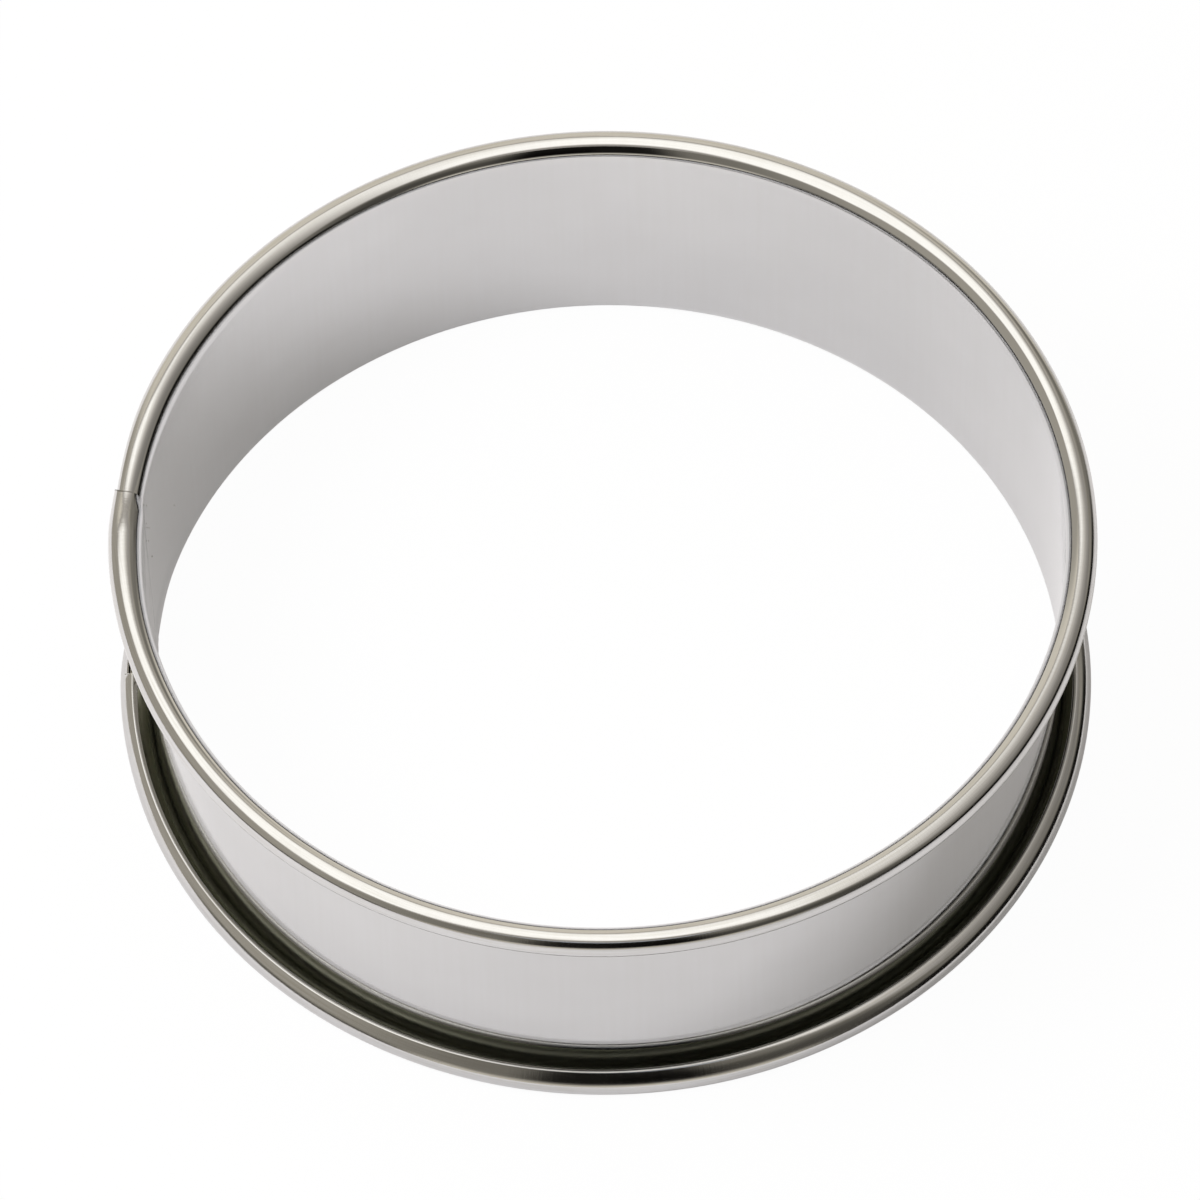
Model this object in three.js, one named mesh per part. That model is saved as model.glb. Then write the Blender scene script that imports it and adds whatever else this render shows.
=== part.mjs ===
// Cake ring: a strip of bright sheet steel, bent round and lapped, held by spot welds in the lap.
// Both long edges of the strip are rolled outwards into open hollow beads.
// Millimetres and degrees. +Z is up, the ring stands on z = 0 and its axis is the Z axis.
import * as THREE from 'three';

// The ring
const BORE_DIAMETER = 160;
const RING_HEIGHT = 50;
const SHEET = 0.4;

// A rolled edge: a wide bend leads out of the wall into the round part, a flatter flank and a tight lip
const BEAD_DIAMETER = 4.85;
const BEAD_GAP = 0.15;
const CURL_TURN = 300;
const LEAD_IN_TURN = 60;
const FLANK_TURN = 35;
const LIP_TURN = 65;
const FLANK_TO_BEAD = 2;
const LIP_BEND = 0.11;

// The lap seam: the lapping end lies inside the wall and outside on the beads.
// Its edge is at SEAM_ANGLE, from +X towards +Y.
const SEAM_ANGLE = 173.2;
const LAP_LENGTH = 8;
const LAP_GAP = 0.15;
const LAP_EASE = 22;
const NOTCH_TURN = 214;
const NOTCH_EDGE = 0.6;

// The spot welds, in a row up the lap
const WELD_NAMES = ['lower', 'middle', 'upper'];
const WELD_DIAMETER = 2.4;
const WELD_EDGE_DISTANCE = 9;
const WELD_CLEARANCE = 0.02;

// How finely the curves are divided
const CURL_STEP = 20;
const LIP_STEPS = 6;
const LAP_STEPS = 3;
const EASE_STEPS = 4;
const RING_STEPS = 54;
const WELD_SIDES = 16;

const { degToRad, lerp, smoothstep } = THREE.MathUtils;

const boreRadius = BORE_DIAMETER / 2;
const beadRadius = BEAD_DIAMETER / 2;
const flankEnd = CURL_TURN - LIP_TURN;
const flankStart = flankEnd - FLANK_TURN;
const lapOffset = SHEET + LAP_GAP;

// Direction in which the sheet's inner face looks after a turn: at the axis on the wall, up on the bead's top
function faceNormal(turn) {
  const angle = degToRad(turn);
  return new THREE.Vector2(-Math.cos(angle), Math.sin(angle));
}

// The arcs of the upper rolled edge in the (radius, height) plane, each tangent to the one before it
function curlArcs() {
  const standOff = SHEET + BEAD_GAP + beadRadius;
  const leadCosine = Math.cos(degToRad(LEAD_IN_TURN));
  const leadRadius = (standOff - beadRadius * leadCosine) / (1 - leadCosine);
  const flankRadius = FLANK_TO_BEAD * beadRadius;
  const lipRadius = SHEET + LIP_BEND;
  // The middle facet at the top of the bead lies flat at the ring's full height
  const crown = beadRadius * Math.cos(degToRad(CURL_STEP / 2));
  const bead = new THREE.Vector2(boreRadius + standOff, RING_HEIGHT - crown);
  const lead = bead.clone().addScaledVector(faceNormal(LEAD_IN_TURN), beadRadius - leadRadius);
  const flank = bead.clone().addScaledVector(faceNormal(flankStart), beadRadius - flankRadius);
  const lip = flank.clone().addScaledVector(faceNormal(flankEnd), flankRadius - lipRadius);
  return [
    { until: LEAD_IN_TURN, centre: lead, radius: leadRadius },
    { until: flankStart, centre: bead, radius: beadRadius },
    { until: flankEnd, centre: flank, radius: flankRadius },
    { until: Infinity, centre: lip, radius: lipRadius },
  ];
}

const arcs = curlArcs();

// Turns at which the curl is sampled, from the wall to the free edge
function curlTurns(lastTurn) {
  const roundSteps = Math.max(1, Math.round(flankStart / CURL_STEP));
  const round = Array.from({ length: roundSteps }, (_, i) => (flankStart * i) / roundSteps);
  const rest = Array.from({ length: LIP_STEPS + 1 }, (_, i) => lerp(flankStart, lastTurn, i / LIP_STEPS));
  return [...round, ...rest];
}

// One face of the upper curl, from the wall to the free edge, at a depth below the sheet's inner face.
// Spread moves the sheet along its face normal, across and up, where the strip lies in the lap.
// It dies out on the flank, because the lip isn't lapped.
function curlFace(lastTurn, depth, spread) {
  return curlTurns(lastTurn).map((turn) => {
    const arc = arcs.find((candidate) => turn <= candidate.until);
    const normal = faceNormal(turn);
    const point = arc.centre.clone().addScaledVector(normal, arc.radius - depth);
    const shift = new THREE.Vector2(normal.x * spread.across, normal.y * spread.up);
    return point.addScaledVector(shift, 1 - smoothstep(turn, NOTCH_TURN, flankEnd));
  });
}

// Closed outline of the strip: down its inner face from lip to lip, and back up its outer face
function stripOutline(lastTurn, spread) {
  const inner = curlFace(lastTurn, 0, spread);
  const outer = curlFace(lastTurn, SHEET, spread);
  const below = (point) => new THREE.Vector2(point.x, RING_HEIGHT - point.y);
  return [...inner.toReversed(), ...inner.map(below), ...outer.map(below).toReversed(), ...outer];
}

// Places along the strip, by the length run along the bore from the lapping end
function stripStations() {
  const round = 2 * Math.PI * boreRadius;
  const end = round + LAP_LENGTH;
  const run = (from, to, steps) => Array.from({ length: steps }, (_, i) => lerp(from, to, i / steps));
  return [
    ...run(0, LAP_LENGTH, LAP_STEPS),
    LAP_LENGTH,
    ...run(LAP_LENGTH + NOTCH_EDGE, LAP_LENGTH + LAP_EASE, EASE_STEPS),
    ...run(LAP_LENGTH + LAP_EASE, round - LAP_EASE, RING_STEPS),
    ...run(round - LAP_EASE, round - NOTCH_EDGE, EASE_STEPS),
    round - NOTCH_EDGE,
    ...run(round, end, LAP_STEPS),
    end,
  ].map((length) => {
    // The lapping end is lifted off the lapped end by half the offset, and the lapped end sinks by the rest.
    // Height is taken up by the lapped end alone, so that the ring stands flat on its seam too.
    const lift = 1 - smoothstep(length, LAP_LENGTH, LAP_LENGTH + LAP_EASE);
    const sink = smoothstep(length, round - LAP_EASE, round);
    const spread = { across: ((lift - sink) * lapOffset) / 2, up: -sink * lapOffset };
    // Both ends have their lip corners notched, so that the lap rolls up no thicker than it must
    const notched = length <= LAP_LENGTH || length >= round;
    return {
      angle: degToRad(SEAM_ANGLE) + length / boreRadius,
      outline: stripOutline(notched ? NOTCH_TURN : CURL_TURN, spread),
    };
  });
}

// Closed solid through outlines that stand at angles round the Z axis, with flat caps on both ends
function loftRound(stations) {
  const count = stations[0].outline.length;
  const positions = stations.flatMap(({ angle, outline }) =>
    outline.flatMap((point) => [point.x * Math.cos(angle), point.x * Math.sin(angle), point.y]),
  );
  const triangles = [];
  for (let k = 0; k + 1 < stations.length; k += 1) {
    for (let i = 0; i < count; i += 1) {
      const next = (i + 1) % count;
      const here = k * count;
      const there = here + count;
      triangles.push(here + i, there + i, there + next);
      triangles.push(here + i, there + next, here + next);
    }
  }
  const last = (stations.length - 1) * count;
  for (const [a, b, c] of THREE.ShapeUtils.triangulateShape(stations[0].outline, [])) {
    triangles.push(a, b, c);
  }
  for (const [a, b, c] of THREE.ShapeUtils.triangulateShape(stations.at(-1).outline, [])) {
    triangles.push(last + a, last + c, last + b);
  }
  const geometry = new THREE.BufferGeometry();
  geometry.setAttribute('position', new THREE.Float32BufferAttribute(positions, 3));
  geometry.setIndex(triangles);
  return geometry;
}

function makeBand() {
  const material = new THREE.MeshStandardMaterial({ color: 0xc9c6c1, roughness: 0.18, metalness: 1 });
  const band = new THREE.Mesh(loftRound(stripStations()), material);
  band.name = 'ring_band';
  return band;
}

// A weld is a flat disc of fused metal between the two lapped ends, in the middle of the lap
function makeWeld(name, height) {
  const thickness = LAP_GAP - 2 * WELD_CLEARANCE;
  const geometry = new THREE.CylinderGeometry(WELD_DIAMETER / 2, WELD_DIAMETER / 2, thickness, WELD_SIDES);
  geometry.rotateZ(Math.PI / 2);
  const material = new THREE.MeshStandardMaterial({ color: 0x8f8b85, roughness: 0.5, metalness: 1 });
  const weld = new THREE.Mesh(geometry, material);
  weld.name = `seam_weld_${name}`;
  const lapTurn = LAP_LENGTH / boreRadius;
  const angle = degToRad(SEAM_ANGLE) + lapTurn / 2;
  // The middle facet of the lap lies a little nearer the axis than the round sheet does
  const radius = (boreRadius + SHEET / 2) * Math.cos(lapTurn / LAP_STEPS / 2);
  weld.position.set(radius * Math.cos(angle), radius * Math.sin(angle), height);
  weld.rotation.z = angle;
  return weld;
}

const ring = new THREE.Group();
ring.add(makeBand());
WELD_NAMES.forEach((name, i) => {
  const share = i / (WELD_NAMES.length - 1);
  ring.add(makeWeld(name, lerp(WELD_EDGE_DISTANCE, RING_HEIGHT - WELD_EDGE_DISTANCE, share)));
});

export default ring;
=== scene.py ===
import math

import bmesh
import bpy
import numpy as np
from mathutils import Matrix, Vector


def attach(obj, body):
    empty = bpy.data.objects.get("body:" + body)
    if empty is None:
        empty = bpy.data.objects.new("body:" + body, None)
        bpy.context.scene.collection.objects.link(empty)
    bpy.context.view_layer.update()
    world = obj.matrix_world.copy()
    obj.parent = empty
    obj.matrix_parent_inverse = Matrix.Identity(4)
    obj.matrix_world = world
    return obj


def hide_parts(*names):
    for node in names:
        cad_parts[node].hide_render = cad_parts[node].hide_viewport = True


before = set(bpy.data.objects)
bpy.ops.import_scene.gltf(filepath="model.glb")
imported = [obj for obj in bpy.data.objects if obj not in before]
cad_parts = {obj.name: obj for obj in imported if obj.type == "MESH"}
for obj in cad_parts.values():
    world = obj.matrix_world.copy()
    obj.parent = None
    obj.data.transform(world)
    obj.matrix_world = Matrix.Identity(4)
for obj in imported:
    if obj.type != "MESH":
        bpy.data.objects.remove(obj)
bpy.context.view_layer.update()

MM = 0.001

# The ring, in millimetres and degrees, as in the part's source
BORE_DIAMETER = 160.0
RING_HEIGHT = 50.0
SHEET = 0.4
BEAD_DIAMETER = 4.85
BEAD_GAP = 0.15
CURL_TURN = 300.0
LEAD_IN_TURN = 60.0
LIP_TURN = 65.0
SEAM_ANGLE = 173.2
LAP_LENGTH = 8.0
LAP_EASE = 22.0
WELD_NAMES = ("lower", "middle", "upper")
WELD_DIAMETER = 2.4
WELD_EDGE_DISTANCE = 9.0

# Details that only the visual model has, in millimetres and degrees.
# The flank and the lip of the rolled edge
FLANK_TURN = 23.0
FLANK_TO_BEAD = 2.56
LIP_BEND = 0.16
RIGHT_FLANK_TURN = 16.0
RIGHT_LIP_TURN = -15.0
RIGHT_FLANK_TO_BEAD = -0.95
LEFT_FLANK_TURN = -5.0
TAIL_BEND = 2.0
TAIL_TURN = 14.0
TAIL_TURN_AT_SEAM = 27.0
TAIL_LENGTH = 11.0

# The lap: its notched corners, its cut-back and thinned end, and how the ends are pressed together
LAP_GAP = 0.03
NOTCH_TURN = 224.0
NOTCH_EDGE = 0.3
NOTCH_REACH = 0.3
MITRE_LENGTH = -1.2
MITRE_FADE = (100.0, 185.0)
END_BLEND = 14.0
TAPER_DEPTH = 0.33
TAPER_LENGTH = 3.5
PRESS_DEPTH = 0.33
PRESS_LENGTH = 8.0
HOLD_TURN = 4.0

# The lean of the wall at the seam, towards its foot
FOOT_LEAN = 0.35
FOOT_LEAN_FADE = (10.0, 40.0)
FOOT_TURN_IN = 0.35
FOOT_TURN_IN_FADE = (3.0, 9.0)
FOOT_LENGTH = 11.0

# Where the surface is dented, heated and rolled, where the hollow is dull and painted with shade, and the
# painted shade line at the lapping end
WELD_DENT = 0.05
WELD_FADE = 2.2
ROLL_FADE = (52.0, 84.0)
HOLLOW_FADE = (20.0, 50.0)
HOLLOW_END = (165.0, 190.0)
# Length of the painted shade line on the bead at the lapping end
LAP_EDGE_SHADE_LENGTH = 0.35

# Weld spatter on the inside of the wall: angle and height of each bead of metal
SPATTER = (
    (172.0, 43.0), (173.0, 39.5), (171.5, 35.0), (172.5, 33.0), (171.0, 25.0), (172.0, 20.5), (160.6, 20.0))
SPATTER_RADIUS = 0.16
SPATTER_HEIGHT = 0.05
SPATTER_DIVISIONS = 3

# How finely the sheet is divided
LEAD_STEPS = 10
ROUND_STEPS = 30
FLANK_STEPS = 8
LIP_STEPS = 16
WALL_STEP = 1.6
WELD_STEP = 0.3
SEAM_STEP = 0.45
EASE_STEP = SEAM_STEP * 1.5
LAP_EDGE_SHADE_STEP = LAP_EDGE_SHADE_LENGTH / 4
RING_STEP = 1.25
SHARP_ANGLE = 40.0

# The sheet's finish, with painted shade in the curl's hollow and along the lapping end's edge. Noise cells
# are per metre, along the strip and across it
NOISE_RANGE = (0.3, 0.7)
SHARE_RANGE = (0, 1)
GRAIN_CELLS = (3600, 260)
WALL_GRAIN_SHARE = 0.15
CLOUD_CELLS = (28, 40)
CLOUD_DARK = (0.63, 0.632, 0.637)
CLOUD_LIGHT = (0.66, 0.662, 0.667)
CLOUD_ROUGHNESS = (-0.006, 0.012)
STREAK_CELLS = (900, 25)
STREAK_RANGE = (0.35, 0.75)
STREAK_SHARE = 0.1
STREAK_COLOUR = (0.58, 0.565, 0.545)
STREAK_ROUGHNESS = (0.055, 0.08)
ROLL_LINE_CELLS = (60, 2400)
ROLL_LINE_NOISE_ROUGHNESS = 0.6
ROLL_LINE_RANGE = (0.4, 0.7)
ROLL_LINE_SHARE = 0.3
ROLL_LINE_COLOUR = (0.46, 0.445, 0.40)
ROLLED_ROUGHNESS = 0.04
HEAT_RANGE = (0.25, 1)
HEAT_SHARE = 0.3
HEAT_COLOUR = (0.36, 0.33, 0.30)
# The hollow inside the curl: its colour is painted shade, darker and more olive than the sheet; its added
# roughness makes it dull
HOLLOW_SHADE_COLOUR = (0.42, 0.43, 0.34)
HOLLOW_ROUGHNESS = 0.28
# Painted shade: a near-black line across the bead at the lapping end, standing in for the shadow in the
# lap's step
LAP_EDGE_SHADE_SHARE = 0.85
LAP_EDGE_SHADE_COLOUR = (0.07, 0.06, 0.045)
SHEET_RELIEF = 4.5e-6

# The finish of the cut edges and of the weld metal
EDGE_CELLS = (5200, 700)
EDGE_DARK = (0.60, 0.58, 0.54)
EDGE_LIGHT = (0.72, 0.70, 0.66)
EDGE_ROUGHNESS = (0.26, 0.38)
EDGE_RELIEF = 4.0e-6
WELD_CELLS = 2600
WELD_DARK = (0.27, 0.25, 0.22)
WELD_LIGHT = (0.45, 0.43, 0.40)
WELD_ROUGHNESS = (0.4, 0.6)
WELD_RELIEF = 1.0e-5

# Colour sockets of Blender's Mix node
MIX_FIRST = 6
MIX_SECOND = 7
MIX_RESULT = 2

# The stage, in metres: a white floor, a soft canopy overhead that is brightest on the left,
# a key lamp on the left, and the pale and dark walls round the table
FLOOR_SIZE = 12.0
FLOOR_COLOUR = (0.865, 0.857, 0.882)
FLOOR_ROUGHNESS = 0.9
FLOOR_SPECULAR = 0.1
FLOOR_WHITE_SEEN = 0.97
FLOOR_WHITE_MIRRORED = 0.14
CANOPY_HEIGHT = 0.66
CANOPY_X = (-0.66, 1.45)
CANOPY_Y = (-0.46, 0.58)
CANOPY_GRID = (83, 50)
CANOPY_COLOUR = (1.0, 0.973, 0.91)
CANOPY_DIM_COLOUR = (1.0, 0.92, 0.81)
CANOPY_LEVEL = 1.54
CANOPY_FAR_LEVEL = 0.25
CANOPY_RIM_LEVEL = 0.42
CANOPY_LEFT = (-0.64, -0.51)
CANOPY_BACK = (0.40, 0.55)
CANOPY_FRONT = -0.28
CANOPY_FRONT_BOW = 0.09
CANOPY_BOW_X = (0.1, 0.35)
CANOPY_FRONT_SOFT = 0.06
CANOPY_FULL_X = 0.10
CANOPY_SLANT = 0.45
CANOPY_FADE = 0.28
KEY_PLACE = Vector((-0.54, -0.16, 0.83))
KEY_SIZE = 0.4
KEY_POWER = 6.0
KEY_COLOUR = (0.98, 0.97, 0.98)
WORLD_COLOUR = (0.93, 0.97, 1.03)
WORLD_LEVEL = 0.6

# The room's walls. Azimuths are in degrees from straight behind the ring, towards the right,
# and rises are shares of the walls' height
WALL_RADIUS = 1.5
WALL_HEIGHT = 2.0
WALL_GRID = (181, 41)
WALL_TINT = (1.0, 0.925, 0.78)
LEFT_LEVEL = 0.46
RIGHT_LEVEL = 0.22
RIGHT_TOP_GAIN = 0.35
RIGHT_TOP_RISE = (0.35, 0.8)
RIGHT_DIM_SHARE = 0.6
RIGHT_DIM_AZIMUTH = (112, 134)
SIDE_CHANGE = (-30, 30)
GLEAM_GAIN = 0.18
GLEAM_AZIMUTH = 66
GLEAM_WIDTH = 14
GLEAM_RISE = (0.2, 0.35)
PANEL_LEVEL = 0.85
PANEL_LEFT_EDGE = (-50, -34)
PANEL_FOOT_REACH = 44
PANEL_TAPER = 22
PANEL_TAPER_RISE = (0.12, 0.35)
PANEL_SOFT_INSIDE = 14
PANEL_SOFT_OUTSIDE = 8
SKIRTING_DARKNESS = 0.97
SKIRTING_START = (50, 62)
SKIRTING_END = (120, 140)
SKIRTING_RISE = (0.16, 0.27)
FRONT_LEFT_DARKNESS = 0.5
FRONT_LEFT_AZIMUTH = (112, 158)
SLOT_DARKNESS = 0.95
SLOT_MIDDLE = -1
SLOT_AZIMUTH = (158, 168)
LINE_DARKNESS = 0.7
LINE_START = (88, 104)
LINE_END = (134, 146)
LINE_RISE = (0.06, 0.14)
PALE_FOOT_LEVEL = 0.75
PALE_FOOT_AZIMUTH = (138, 152)
PALE_FOOT_RISE = (0.04, 0.2)

# Camera, from the ring's outline in the photo; lengths in metres, lens and sensor in millimetres
CAMERA_TARGET = Vector((-0.00079, 0.0105, 0.0111))
CAMERA_DISTANCE = 1.977
CAMERA_ELEVATION = 56.53
CAMERA_ROLL = -1.252
CAMERA_LENS = 336.8
CAMERA_SENSOR = 36.0
CAMERA_CLIP_END = 50.0

bore_radius = BORE_DIAMETER / 2
bead_radius = BEAD_DIAMETER / 2
lip_radius = SHEET + LIP_BEND
lap_offset = SHEET + LAP_GAP
round_length = math.tau * bore_radius
round_end = CURL_TURN - LIP_TURN - FLANK_TURN
notch_end = LAP_LENGTH + NOTCH_REACH


def smooth(x, low, high):
    """0 below low, 1 above high, and a smooth change between them."""
    t = np.clip((np.asarray(x, float) - low) / (high - low), 0.0, 1.0)
    return t * t * (3 - 2 * t)


def fade_out(x, low, high):
    return 1 - smooth(x, low, high)


# The rolled edge in the (radius, height) plane

def face_normal(turn):
    """Where the sheet's inner face looks after a turn: at the axis on the wall, up on the bead's top."""
    angle = np.radians(turn)
    return np.stack([-np.cos(angle), np.sin(angle)], -1)


def curl_shape(angle):
    """Turns of the flank and the lip and the flank's radius; the roll is tighter on the right side."""
    right = max(math.cos(angle), 0)
    left = max(-math.cos(angle), 0)
    flank_turn = FLANK_TURN + RIGHT_FLANK_TURN * right + LEFT_FLANK_TURN * left
    lip_turn = LIP_TURN + RIGHT_LIP_TURN * right
    return flank_turn, lip_turn, (FLANK_TO_BEAD + RIGHT_FLANK_TO_BEAD * right) * bead_radius


def curl_arcs(flank_turn, lip_turn, flank_radius):
    """The arcs of the upper rolled edge: the last turn, the centre and the radius of each."""
    stand_off = SHEET + BEAD_GAP + bead_radius
    lead_cosine = math.cos(math.radians(LEAD_IN_TURN))
    lead_radius = (stand_off - bead_radius * lead_cosine) / (1 - lead_cosine)
    flank_end = round_end + flank_turn
    lip_end = flank_end + lip_turn
    bead = np.array([bore_radius + stand_off, RING_HEIGHT - bead_radius])
    lead = bead + face_normal(LEAD_IN_TURN) * (bead_radius - lead_radius)
    flank = bead + face_normal(round_end) * (bead_radius - flank_radius)
    lip = flank + face_normal(flank_end) * (flank_radius - lip_radius)
    tail = lip + face_normal(lip_end) * (lip_radius - TAIL_BEND)
    return [
        (LEAD_IN_TURN, lead, lead_radius),
        (round_end, bead, bead_radius),
        (flank_end, flank, flank_radius),
        (lip_end, lip, lip_radius),
        (math.inf, tail, TAIL_BEND),
    ]


def curl_turns(notched, flank_turn, lip_turn, tail_turn):
    """Turns at which the curl is sampled, from the wall to the free edge; always the same number."""
    lead = np.linspace(0, LEAD_IN_TURN, LEAD_STEPS, endpoint=False)
    middle = np.linspace(LEAD_IN_TURN, round_end, ROUND_STEPS, endpoint=False)
    if notched:
        short = np.linspace(round_end, NOTCH_TURN, FLANK_STEPS + LIP_STEPS + 1)
        return np.concatenate([lead, middle, short])
    flank_end = round_end + flank_turn
    flank = np.linspace(round_end, flank_end, FLANK_STEPS, endpoint=False)
    lip_length = math.radians(lip_turn) * lip_radius
    path = np.linspace(0, lip_length + math.radians(tail_turn) * TAIL_BEND, LIP_STEPS + 1)
    on_lip = np.degrees(np.minimum(path, lip_length) / lip_radius)
    on_tail = np.degrees(np.maximum(path - lip_length, 0) / TAIL_BEND)
    return np.concatenate([lead, middle, flank, flank_end + on_lip + on_tail])


def curl_points(turns, arcs, depths, shift):
    normal = face_normal(turns)
    points = np.zeros_like(normal)
    low = -math.inf
    for until, centre, radius in arcs:
        here = (turns > low) & (turns <= until)
        points[here] = centre + normal[here] * (radius - depths[here])[:, None]
        low = until
    return points + normal * shift


# Heights of the sampled points on the straight wall, closer together at the welds

weld_heights = np.linspace(WELD_EDGE_DISTANCE, RING_HEIGHT - WELD_EDGE_DISTANCE, len(WELD_NAMES))


def sample_wall():
    lead_centre = curl_arcs(*curl_shape(0))[0][1]
    wall_top = float(lead_centre[1])
    reach = WELD_DIAMETER
    plain = np.arange(RING_HEIGHT - wall_top, wall_top, WALL_STEP)[1:]
    heights = [z for z in plain if np.abs(weld_heights - z).min() > reach]
    for centre in weld_heights:
        heights += list(np.arange(centre - reach, centre + reach + WELD_STEP / 2, WELD_STEP))
    return np.array(sorted(heights, reverse=True))


wall_heights = sample_wall()


# Places along the strip, in millimetres from the end that laps over

def run_lengths():
    edges = [0.0, LAP_EDGE_SHADE_LENGTH, notch_end, notch_end + NOTCH_EDGE, LAP_LENGTH + LAP_EASE]
    edges += [round_length - LAP_EASE, round_length - NOTCH_EDGE, round_length, round_length + LAP_LENGTH]
    steps = [LAP_EDGE_SHADE_STEP, SEAM_STEP, NOTCH_EDGE, EASE_STEP, RING_STEP, EASE_STEP, NOTCH_EDGE, SEAM_STEP]
    lengths = []
    for low, high, step in zip(edges, edges[1:], steps):
        count = max(1, round((high - low) / step))
        lengths += list(np.linspace(low, high, count, endpoint=False))
    return np.array(lengths + [edges[-1]])


def lap_shares(length):
    """How far the lapping end is lifted and the lapped end is sunk at a place, from 0 to 1."""
    lift = fade_out(length, LAP_LENGTH, LAP_LENGTH + LAP_EASE)
    sink = smooth(length, round_length - LAP_EASE, round_length)
    return lift, sink


def wall_shift(length, height):
    """How far the wall moves in: its half of the lap's step, and at the seam a lean towards its foot."""
    lift, sink = lap_shares(length)
    from_seam = min(length, abs(length - round_length))
    near_seam = math.exp(-((from_seam / FOOT_LENGTH) ** 2))
    lean = FOOT_LEAN * fade_out(height, *FOOT_LEAN_FADE)
    turn_in = FOOT_TURN_IN * fade_out(height, *FOOT_TURN_IN_FADE)
    return (lift - sink) * lap_offset / 2 + near_seam * (lean + turn_in)


def curl_shift(length, turns, height):
    """How far a curl moves across and up: the lapped bead takes the step, and both are pressed down."""
    lift, sink = lap_shares(length)
    press = PRESS_DEPTH * (fade_out(length, 0, PRESS_LENGTH) + sink)
    on_bead = smooth(turns, 0, LEAD_IN_TURN)
    inwards = (lift - sink) * lap_offset / 2 * on_bead + wall_shift(length, height) * (1 - on_bead)
    return np.stack([inwards - press * on_bead, -sink * lap_offset - press * on_bead], -1)


def cross_section(length):
    """The points of the sheet's two faces at a place along the strip, from lip to lip, and their turns."""
    notched = length <= notch_end or length >= round_length
    shape = curl_shape(math.radians(SEAM_ANGLE) + length / bore_radius)
    at_seam = fade_out(length, notch_end, notch_end + TAIL_LENGTH)
    tail_turn = TAIL_TURN + (TAIL_TURN_AT_SEAM - TAIL_TURN) * float(at_seam)
    flank_turn, lip_turn, _ = shape
    turns = curl_turns(notched, flank_turn, lip_turn, tail_turn)
    arcs = curl_arcs(*shape)

    # Beyond the lap the shift dies out on the flank, because the lip isn't lapped
    hold = np.ones(len(turns))
    if not notched:
        hold = fade_out(turns, round_end + HOLD_TURN, round_end + flank_turn)
    upper_shift = curl_shift(length, turns, RING_HEIGHT) * hold[:, None]
    lower_shift = curl_shift(length, turns, 0.0) * hold[:, None]

    # The lapping end is dressed thin inside, so that its edge hardly shows on the wall
    thin = TAPER_DEPTH * float(fade_out(length, 0, TAPER_LENGTH))
    faces = []
    for depth, taper in ((0.0, thin), (SHEET, 0.0)):
        depths = depth + taper * fade_out(turns, LEAD_IN_TURN / 2, LEAD_IN_TURN)
        upper = curl_points(turns, arcs, depths, upper_shift)
        lower = curl_points(turns, arcs, depths, lower_shift) * [1, -1] + [0, RING_HEIGHT]
        wall_radius = bore_radius + depth + taper - wall_shift(length, wall_heights)
        wall = np.stack([wall_radius, wall_heights], -1)
        faces.append(np.concatenate([upper[::-1], wall, lower]))
    return *faces, np.concatenate([turns[::-1], np.zeros(len(wall_heights)), turns])


def build_sheet():
    """Points of the two faces, their place on the strip, where they are rolled and hollow, and the painted
    shade line at the lapping end.
    """
    rows = []
    for length in run_lengths():
        inner, outer, turns = cross_section(length)
        # The lapping end is cut back on the outside of the bead, in a mitre
        cut_back = MITRE_LENGTH * smooth(turns, *MITRE_FADE)
        run = length + cut_back * max(0.0, 1 - length / END_BLEND) ** 2
        steps = np.linalg.norm(np.diff(inner, axis=0), axis=1)
        across_strip = np.concatenate([[0.0], np.cumsum(steps)])
        rolled = smooth(turns, *ROLL_FADE)
        # The hollow inside the curl, which takes painted shade and a duller finish
        hollow = smooth(turns, *HOLLOW_FADE) * fade_out(turns, *HOLLOW_END)
        # Painted shade along the very end of the lapping strip, on its rolled part
        lap_edge_shade = rolled * fade_out(length, 0, LAP_EDGE_SHADE_LENGTH)
        rows.append((inner, outer, run, across_strip, rolled, hollow, lap_edge_shade))
    return [np.array(part) for part in zip(*rows)]


def weld_mask(run, height, fade):
    """1 at the middle of a spot weld and 0 away from it, on the sheet's two lapped ends."""
    mask = np.zeros(run.shape)
    for start in (0.0, round_length):
        for centre in weld_heights:
            distance = np.hypot(run - start - LAP_LENGTH / 2, height - centre)
            mask = np.maximum(mask, np.exp(-((distance / fade) ** 2)))
    return mask


def round_the_axis(section, run):
    angle = math.radians(SEAM_ANGLE) + run / bore_radius
    radius = section[..., 0]
    points = np.stack([radius * np.cos(angle), radius * np.sin(angle), section[..., 1]], -1) * MM
    return points.reshape(-1, 3)


def make_mesh(name, points, faces, materials):
    mesh = bpy.data.meshes.new(name)
    mesh.from_pydata([tuple(p) for p in points], [], faces)
    mesh.shade_smooth()
    for material in materials:
        mesh.materials.append(material)
    mesh.update()
    piece = bpy.data.objects.new(name, mesh)
    bpy.context.scene.collection.objects.link(piece)
    return piece


def quads(a, b, c, d):
    return np.stack([a, b, c, d], -1).reshape(-1, 4)


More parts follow.
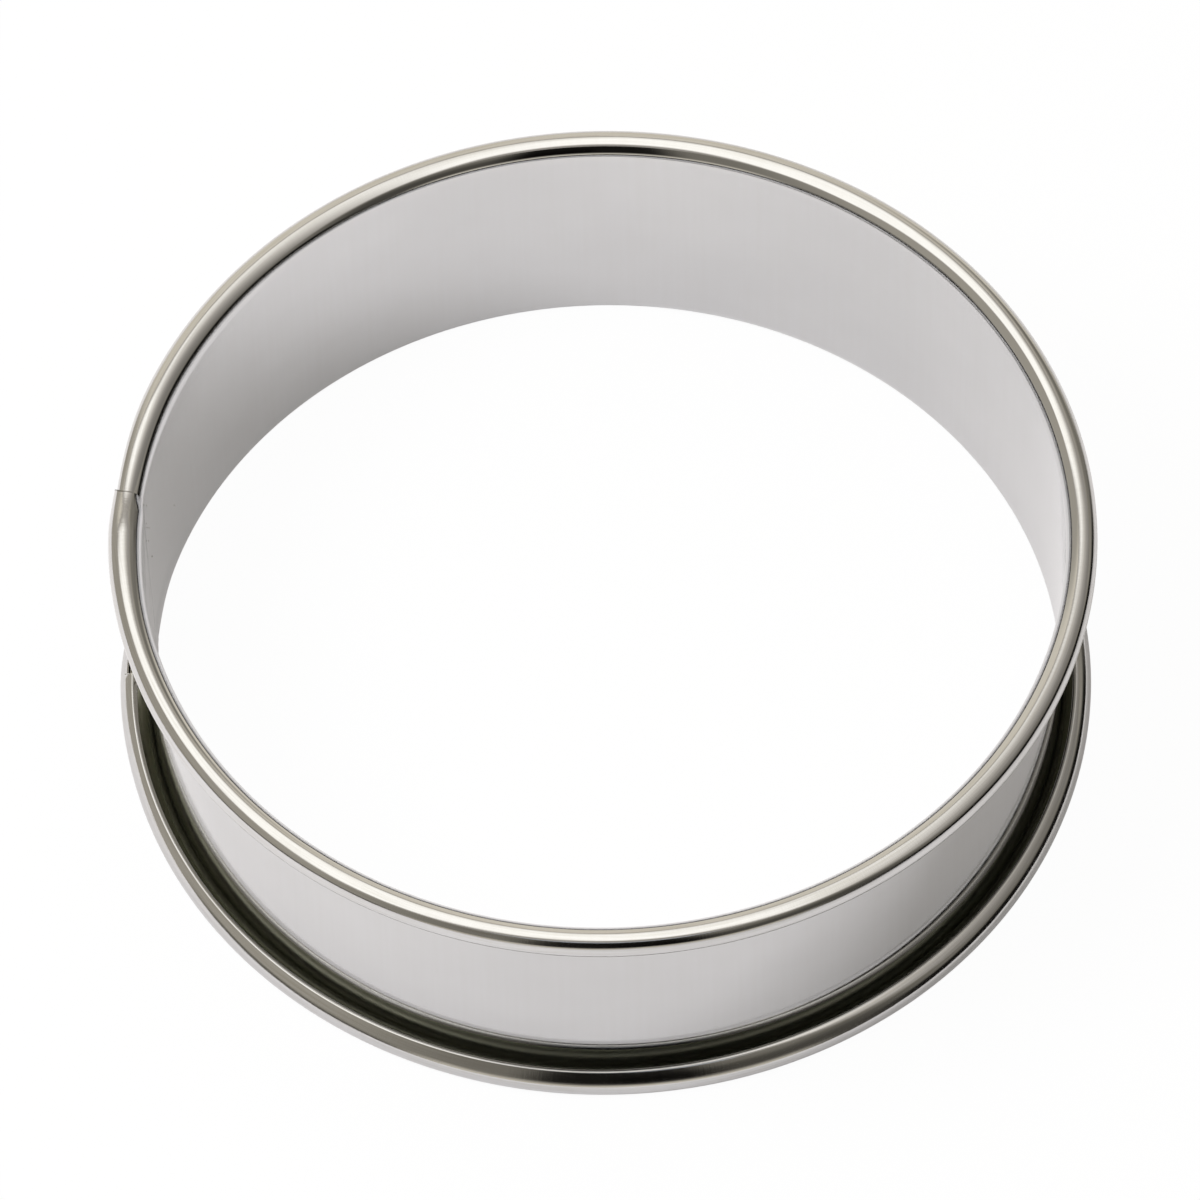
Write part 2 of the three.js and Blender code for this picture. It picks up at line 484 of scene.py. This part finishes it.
def sheet_faces(rows, columns):
    """Faces of the sheet's inner and outer side, and of its four cut edges."""
    inner = np.arange(rows * columns).reshape(rows, columns)
    outer = inner + rows * columns
    sides = [
        quads(inner[:-1, :-1], inner[1:, :-1], inner[1:, 1:], inner[:-1, 1:]),
        quads(outer[:-1, :-1], outer[:-1, 1:], outer[1:, 1:], outer[1:, :-1]),
    ]
    edges = [
        quads(inner[:-1, 0], outer[:-1, 0], outer[1:, 0], inner[1:, 0]),
        quads(inner[:-1, -1], inner[1:, -1], outer[1:, -1], outer[:-1, -1]),
        quads(inner[0, :-1], inner[0, 1:], outer[0, 1:], outer[0, :-1]),
        quads(inner[-1, :-1], outer[-1, :-1], outer[-1, 1:], inner[-1, 1:]),
    ]
    return np.concatenate(sides), np.concatenate(edges)


def make_band(materials):
    """The strip; its sides take the first material and its cut edges the second."""
    inner, outer, run, across_strip, rolled, hollow, lap_edge_shade = build_sheet()
    heat = weld_mask(run, inner[..., 1], WELD_FADE)
    dent = WELD_DENT * weld_mask(run, inner[..., 1], WELD_DIAMETER / 2)
    inner[..., 0] += dent * (run < round_length / 2)
    outer[..., 0] -= dent * (run > round_length / 2)
    points = np.concatenate([round_the_axis(inner, run), round_the_axis(outer, run)])
    sides, edges = sheet_faces(*run.shape)
    band = make_mesh("ring_sheet", points, np.concatenate([sides, edges]).tolist(), materials)
    mesh = band.data
    slots = np.repeat([0, 1], [len(sides), len(edges)]).astype(np.int32)
    mesh.polygons.foreach_set("material_index", slots)

    place_on_strip = np.stack([run, across_strip], -1).reshape(-1, 2) * MM
    place_on_strip = np.concatenate([place_on_strip, place_on_strip])
    loop_points = np.zeros(len(mesh.loops), np.int32)
    mesh.loops.foreach_get("vertex_index", loop_points)
    layer = mesh.uv_layers.new(name="strip")
    layer.data.foreach_set("uv", place_on_strip[loop_points].astype(np.float32).ravel())

    # Values that the material reads, on the inner side and the outer side
    painted = {
        "weld_heat": (heat, heat),
        "rolled": (rolled, rolled),
        "hollow": (np.zeros(run.shape), hollow),
        "lap_edge_shade": (lap_edge_shade, lap_edge_shade),
    }
    for name, values in painted.items():
        layer = mesh.attributes.new(name, "FLOAT", "POINT")
        layer.data.foreach_set("value", np.stack(values).astype(np.float32).ravel())
    mesh.set_sharp_from_angle(angle=math.radians(SHARP_ANGLE))
    return band


def make_spatter(material):
    """Small flattened beads of metal, half sunk in the inside of the wall."""
    shape = bmesh.new()
    flat = Matrix.Diagonal((SPATTER_HEIGHT * MM, SPATTER_RADIUS * MM, SPATTER_RADIUS * MM, 1))
    for angle, height in SPATTER:
        turn = math.radians(angle)
        centre = Vector((bore_radius * math.cos(turn), bore_radius * math.sin(turn), height)) * MM
        matrix = Matrix.Translation(centre) @ Matrix.Rotation(turn, 4, "Z") @ flat
        bmesh.ops.create_icosphere(shape, subdivisions=SPATTER_DIVISIONS, radius=1, matrix=matrix)
    spatter = make_mesh("weld_spatter", [], [], [material])
    shape.to_mesh(spatter.data)
    shape.free()
    spatter.data.shade_smooth()
    return spatter


# Materials

def new_material(name):
    material = bpy.data.materials.new(name)
    material.use_nodes = True
    tree = material.node_tree
    return material, tree, tree.nodes["Principled BSDF"]


def add(tree, kind, **settings):
    node = tree.nodes.new(kind)
    for key, value in settings.items():
        setattr(node, key, value)
    return node


def stretched_noise(tree, cells, detail, roughness=0.5):
    """Noise on the strip's own coordinates, in cells per metre along the strip and across it."""
    place = add(tree, "ShaderNodeUVMap", uv_map="strip")
    mapping = add(tree, "ShaderNodeMapping")
    mapping.inputs["Scale"].default_value = (*cells, 1)
    noise = add(tree, "ShaderNodeTexNoise", noise_dimensions="2D")
    noise.inputs["Scale"].default_value = 1
    noise.inputs["Detail"].default_value = detail
    noise.inputs["Roughness"].default_value = roughness
    tree.links.new(place.outputs["UV"], mapping.inputs["Vector"])
    tree.links.new(mapping.outputs["Vector"], noise.inputs["Vector"])
    return noise.outputs["Fac"]


def map_range(tree, value, source, target):
    node = add(tree, "ShaderNodeMapRange")
    node.inputs["From Min"].default_value = source[0]
    node.inputs["From Max"].default_value = source[1]
    node.inputs["To Min"].default_value = target[0]
    node.inputs["To Max"].default_value = target[1]
    tree.links.new(value, node.inputs["Value"])
    return node.outputs["Result"]


def mix_colour(tree, share, first, second):
    node = add(tree, "ShaderNodeMix", data_type="RGBA")
    tree.links.new(share, node.inputs["Factor"])
    for socket, colour in ((node.inputs[MIX_FIRST], first), (node.inputs[MIX_SECOND], second)):
        if isinstance(colour, tuple):
            socket.default_value = (*colour, 1)
        else:
            tree.links.new(colour, socket)
    return node.outputs[MIX_RESULT]


def combine(tree, operation, first, second):
    node = add(tree, "ShaderNodeMath", operation=operation)
    tree.links.new(first, node.inputs[0])
    tree.links.new(second, node.inputs[1])
    return node.outputs[0]


def bump(tree, height, distance):
    node = add(tree, "ShaderNodeBump")
    node.inputs["Strength"].default_value = 1
    node.inputs["Distance"].default_value = distance
    tree.links.new(height, node.inputs["Height"])
    return node.outputs["Normal"]


def painted_value(tree, name):
    return add(tree, "ShaderNodeAttribute", attribute_name=name).outputs["Fac"]


def finish_metal(tree, shader, tone, roughness, normal):
    shader.inputs["Metallic"].default_value = 1
    tree.links.new(tone, shader.inputs["Base Color"])
    tree.links.new(roughness, shader.inputs["Roughness"])
    tree.links.new(normal, shader.inputs["Normal"])


def sheet_material():
    material, tree, shader = new_material("bright_sheet")
    grain = stretched_noise(tree, GRAIN_CELLS, detail=3)
    streak = stretched_noise(tree, STREAK_CELLS, detail=4)
    cloud = stretched_noise(tree, CLOUD_CELLS, detail=3)
    roll_lines = stretched_noise(tree, ROLL_LINE_CELLS, detail=3, roughness=ROLL_LINE_NOISE_ROUGHNESS)
    heat = painted_value(tree, "weld_heat")
    rolled = painted_value(tree, "rolled")
    hollow = painted_value(tree, "hollow")
    lap_edge_shade = painted_value(tree, "lap_edge_shade")

    cloud_share = map_range(tree, cloud, NOISE_RANGE, SHARE_RANGE)
    tone = mix_colour(tree, cloud_share, CLOUD_DARK, CLOUD_LIGHT)
    tone = mix_colour(tree, map_range(tree, streak, STREAK_RANGE, (0, STREAK_SHARE)), tone, STREAK_COLOUR)
    line_share = map_range(tree, roll_lines, ROLL_LINE_RANGE, (0, ROLL_LINE_SHARE))
    tone = mix_colour(tree, combine(tree, "MULTIPLY", line_share, rolled), tone, ROLL_LINE_COLOUR)
    tone = mix_colour(tree, map_range(tree, heat, HEAT_RANGE, (0, HEAT_SHARE)), tone, HEAT_COLOUR)
    # Painted shade: the inside of the curl's hollow is tinted darker and olive
    tone = mix_colour(tree, hollow, tone, HOLLOW_SHADE_COLOUR)
    # Painted shade: the dark line at the lapping end's edge
    tone = mix_colour(tree, map_range(tree, lap_edge_shade, SHARE_RANGE, (0, LAP_EDGE_SHADE_SHARE)), tone, LAP_EDGE_SHADE_COLOUR)

    roughness = map_range(tree, streak, NOISE_RANGE, STREAK_ROUGHNESS)
    for value, source, target in (
        (cloud, NOISE_RANGE, CLOUD_ROUGHNESS),
        (rolled, SHARE_RANGE, (0, ROLLED_ROUGHNESS)),
        (hollow, SHARE_RANGE, (0, HOLLOW_ROUGHNESS)),
    ):
        roughness = combine(tree, "ADD", roughness, map_range(tree, value, source, target))

    grain_share = map_range(tree, rolled, SHARE_RANGE, (WALL_GRAIN_SHARE, 1))
    grain_height = combine(tree, "MULTIPLY", grain, grain_share)
    relief = combine(tree, "ADD", grain_height, combine(tree, "MULTIPLY", roll_lines, rolled))
    finish_metal(tree, shader, tone, roughness, bump(tree, relief, SHEET_RELIEF))
    return material


def cut_edge_material():
    material, tree, shader = new_material("sheared_edge")
    grain = stretched_noise(tree, EDGE_CELLS, detail=3)
    tone = mix_colour(tree, map_range(tree, grain, NOISE_RANGE, SHARE_RANGE), EDGE_DARK, EDGE_LIGHT)
    roughness = map_range(tree, grain, NOISE_RANGE, EDGE_ROUGHNESS)
    finish_metal(tree, shader, tone, roughness, bump(tree, grain, EDGE_RELIEF))
    return material


def weld_material():
    material, tree, shader = new_material("weld_metal")
    place = add(tree, "ShaderNodeTexCoord")
    noise = add(tree, "ShaderNodeTexNoise")
    noise.inputs["Scale"].default_value = WELD_CELLS
    noise.inputs["Detail"].default_value = 4
    tree.links.new(place.outputs["Object"], noise.inputs["Vector"])
    spots = noise.outputs["Fac"]
    tone = mix_colour(tree, map_range(tree, spots, NOISE_RANGE, SHARE_RANGE), WELD_DARK, WELD_LIGHT)
    roughness = map_range(tree, spots, NOISE_RANGE, WELD_ROUGHNESS)
    finish_metal(tree, shader, tone, roughness, bump(tree, spots, WELD_RELIEF))
    return material


# The stage

def make_floor():
    """A floor that the camera, and to a lesser share the metal, sees as white; it keeps the shadow."""
    material, tree, shader = new_material("white_floor")
    shader.inputs["Base Color"].default_value = (*FLOOR_COLOUR, 1)
    shader.inputs["Roughness"].default_value = FLOOR_ROUGHNESS
    shader.inputs["Specular IOR Level"].default_value = FLOOR_SPECULAR
    white = add(tree, "ShaderNodeEmission")
    path = add(tree, "ShaderNodeLightPath")
    mixed = add(tree, "ShaderNodeMixShader")
    mirrored = combine(tree, "ADD", path.outputs["Is Glossy Ray"], path.outputs["Is Transmission Ray"])
    white_share = combine(
        tree,
        "ADD",
        map_range(tree, path.outputs["Is Camera Ray"], SHARE_RANGE, (0, FLOOR_WHITE_SEEN)),
        map_range(tree, mirrored, SHARE_RANGE, (0, FLOOR_WHITE_MIRRORED)),
    )
    tree.links.new(white_share, mixed.inputs["Fac"])
    tree.links.new(shader.outputs["BSDF"], mixed.inputs[1])
    tree.links.new(white.outputs["Emission"], mixed.inputs[2])
    tree.links.new(mixed.outputs["Shader"], tree.nodes["Material Output"].inputs["Surface"])
    half = FLOOR_SIZE / 2
    corners = [(-half, -half, 0), (half, -half, 0), (half, half, 0), (-half, half, 0)]
    return make_mesh("floor", corners, [(0, 1, 2, 3)], [material])


def glow_material(name):
    material, tree, shader = new_material(name)
    tree.nodes.remove(shader)
    glow = add(tree, "ShaderNodeEmission")
    colour = add(tree, "ShaderNodeAttribute", attribute_name="glow")
    tree.links.new(colour.outputs["Color"], glow.inputs["Color"])
    tree.links.new(glow.outputs["Emission"], tree.nodes["Material Output"].inputs["Surface"])
    return material


def make_glowing(name, points, levels, tint):
    """A grid of points that glows with a level and a tint at each point, unseen by the camera itself."""
    rows, columns = levels.shape
    number = np.arange(rows * columns).reshape(rows, columns)
    faces = quads(number[:-1, :-1], number[:-1, 1:], number[1:, 1:], number[1:, :-1])
    card = make_mesh(name, points.reshape(-1, 3), faces.tolist(), [glow_material(name)])
    colours = np.ones((rows, columns, 4))
    colours[..., :3] = levels[..., None] * tint
    glow = card.data.attributes.new("glow", "FLOAT_COLOR", "POINT")
    glow.data.foreach_set("color", colours.astype(np.float32).ravel())
    card.visible_camera = False
    card.visible_shadow = False
    return card


def make_canopy():
    columns, rows = CANOPY_GRID
    x, y = np.meshgrid(np.linspace(*CANOPY_X, columns), np.linspace(*CANOPY_Y, rows))
    beyond = np.maximum(x - (CANOPY_FULL_X - CANOPY_SLANT * y), 0)
    level = CANOPY_FAR_LEVEL + (CANOPY_LEVEL - CANOPY_FAR_LEVEL) * np.exp(-beyond / CANOPY_FADE)
    front = CANOPY_FRONT - CANOPY_FRONT_BOW * smooth(np.abs(x), *CANOPY_BOW_X)
    inside = smooth(x, *CANOPY_LEFT) * fade_out(y, *CANOPY_BACK)
    inside = inside * smooth(y - front, -CANOPY_FRONT_SOFT, CANOPY_FRONT_SOFT)
    rim = np.minimum(level, CANOPY_RIM_LEVEL)
    level = rim + (level - rim) * inside
    share = (level / CANOPY_LEVEL)[..., None]
    tint = share * CANOPY_COLOUR + (1 - share) * CANOPY_DIM_COLOUR
    points = np.stack([x, y, np.full(x.shape, CANOPY_HEIGHT)], -1)
    return make_glowing("canopy", points, level, tint)


def wall_level(azimuth, rise):
    """Brightness of the room's walls."""
    gleam = np.exp(-((azimuth - GLEAM_AZIMUTH) / GLEAM_WIDTH) ** 2) * smooth(rise, *GLEAM_RISE)
    right = RIGHT_LEVEL + RIGHT_TOP_GAIN * smooth(rise, *RIGHT_TOP_RISE) + GLEAM_GAIN * gleam
    right = right * (1 - RIGHT_DIM_SHARE * smooth(azimuth, *RIGHT_DIM_AZIMUTH))
    side = LEFT_LEVEL + (right - LEFT_LEVEL) * smooth(azimuth, *SIDE_CHANGE)

    # The pale panel behind the ring is wider at its foot
    reach = PANEL_FOOT_REACH - PANEL_TAPER * smooth(rise, *PANEL_TAPER_RISE)
    panel = smooth(azimuth, *PANEL_LEFT_EDGE)
    panel = panel * fade_out(azimuth, reach - PANEL_SOFT_INSIDE, reach + PANEL_SOFT_OUTSIDE)
    level = side + (PANEL_LEVEL - side) * panel

    # A dark skirting on the right, the dim front left and the dark slot behind the camera
    skirting = smooth(azimuth, *SKIRTING_START) * fade_out(azimuth, *SKIRTING_END)
    skirting = skirting * fade_out(rise, *SKIRTING_RISE)
    front_left = smooth(-azimuth, *FRONT_LEFT_AZIMUTH)
    slot = smooth(np.abs(azimuth - SLOT_MIDDLE), *SLOT_AZIMUTH)
    level = level * (1 - SKIRTING_DARKNESS * skirting)
    level = level * (1 - FRONT_LEFT_DARKNESS * front_left) * (1 - SLOT_DARKNESS * slot)

    # A thin dark line at the foot on the left, and a pale foot in front
    line = smooth(-azimuth, *LINE_START) * fade_out(-azimuth, *LINE_END) * fade_out(rise, *LINE_RISE)
    pale_foot = smooth(np.abs(azimuth), *PALE_FOOT_AZIMUTH) * fade_out(rise, *PALE_FOOT_RISE)
    return level * (1 - LINE_DARKNESS * line) * (1 - pale_foot) + PALE_FOOT_LEVEL * pale_foot


def make_walls():
    columns, rows = WALL_GRID
    azimuth, height = np.meshgrid(np.linspace(-180, 180, columns), np.linspace(0, WALL_HEIGHT, rows))
    angle = np.radians(azimuth)
    points = np.stack([WALL_RADIUS * np.sin(angle), WALL_RADIUS * np.cos(angle), height], -1)
    levels = wall_level(azimuth, height / WALL_HEIGHT)
    return make_glowing("room_walls", points, levels, np.array(WALL_TINT))


def make_key():
    data = bpy.data.lights.new("key_lamp", "AREA")
    data.shape = "SQUARE"
    data.size = KEY_SIZE
    data.energy = KEY_POWER
    data.color = KEY_COLOUR
    key = bpy.data.objects.new("key_lamp", data)
    bpy.context.scene.collection.objects.link(key)
    key.location = KEY_PLACE
    key.rotation_euler = (-KEY_PLACE).to_track_quat("-Z", "Y").to_euler()
    key.visible_glossy = False


def make_world():
    world = bpy.data.worlds.new("studio")
    world.use_nodes = True
    background = world.node_tree.nodes["Background"]
    background.inputs["Color"].default_value = (*WORLD_COLOUR, 1)
    background.inputs["Strength"].default_value = WORLD_LEVEL
    bpy.context.scene.world = world


def make_camera():
    data = bpy.data.cameras.new("photo_camera")
    data.sensor_width = CAMERA_SENSOR
    data.lens = CAMERA_LENS
    data.clip_end = CAMERA_CLIP_END
    camera = bpy.data.objects.new("photo_camera", data)
    bpy.context.scene.collection.objects.link(camera)
    elevation = math.radians(CAMERA_ELEVATION)
    place = CAMERA_TARGET + CAMERA_DISTANCE * Vector((0, -math.cos(elevation), math.sin(elevation)))
    forward = (CAMERA_TARGET - place).normalized()
    right = forward.cross(Vector((0, 0, 1))).normalized()
    up = right.cross(forward)
    cosine = math.cos(math.radians(CAMERA_ROLL))
    sine = math.sin(math.radians(CAMERA_ROLL))
    axes = (cosine * right + sine * up, cosine * up - sine * right, -forward)
    matrix = Matrix(axes).transposed().to_4x4()
    matrix.translation = place
    camera.matrix_world = matrix
    bpy.context.scene.camera = camera


band = make_band([sheet_material(), cut_edge_material()])
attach(band, "root")
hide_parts("ring_band")

weld_metal = weld_material()
for name in WELD_NAMES:
    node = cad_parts[f"seam_weld_{name}"]
    node.data.materials.clear()
    node.data.materials.append(weld_metal)

spatter = make_spatter(weld_metal)
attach(spatter, "root")

make_floor()
make_canopy()
make_walls()
make_key()
make_world()
make_camera()
bpy.context.scene.view_settings.view_transform = "Standard"
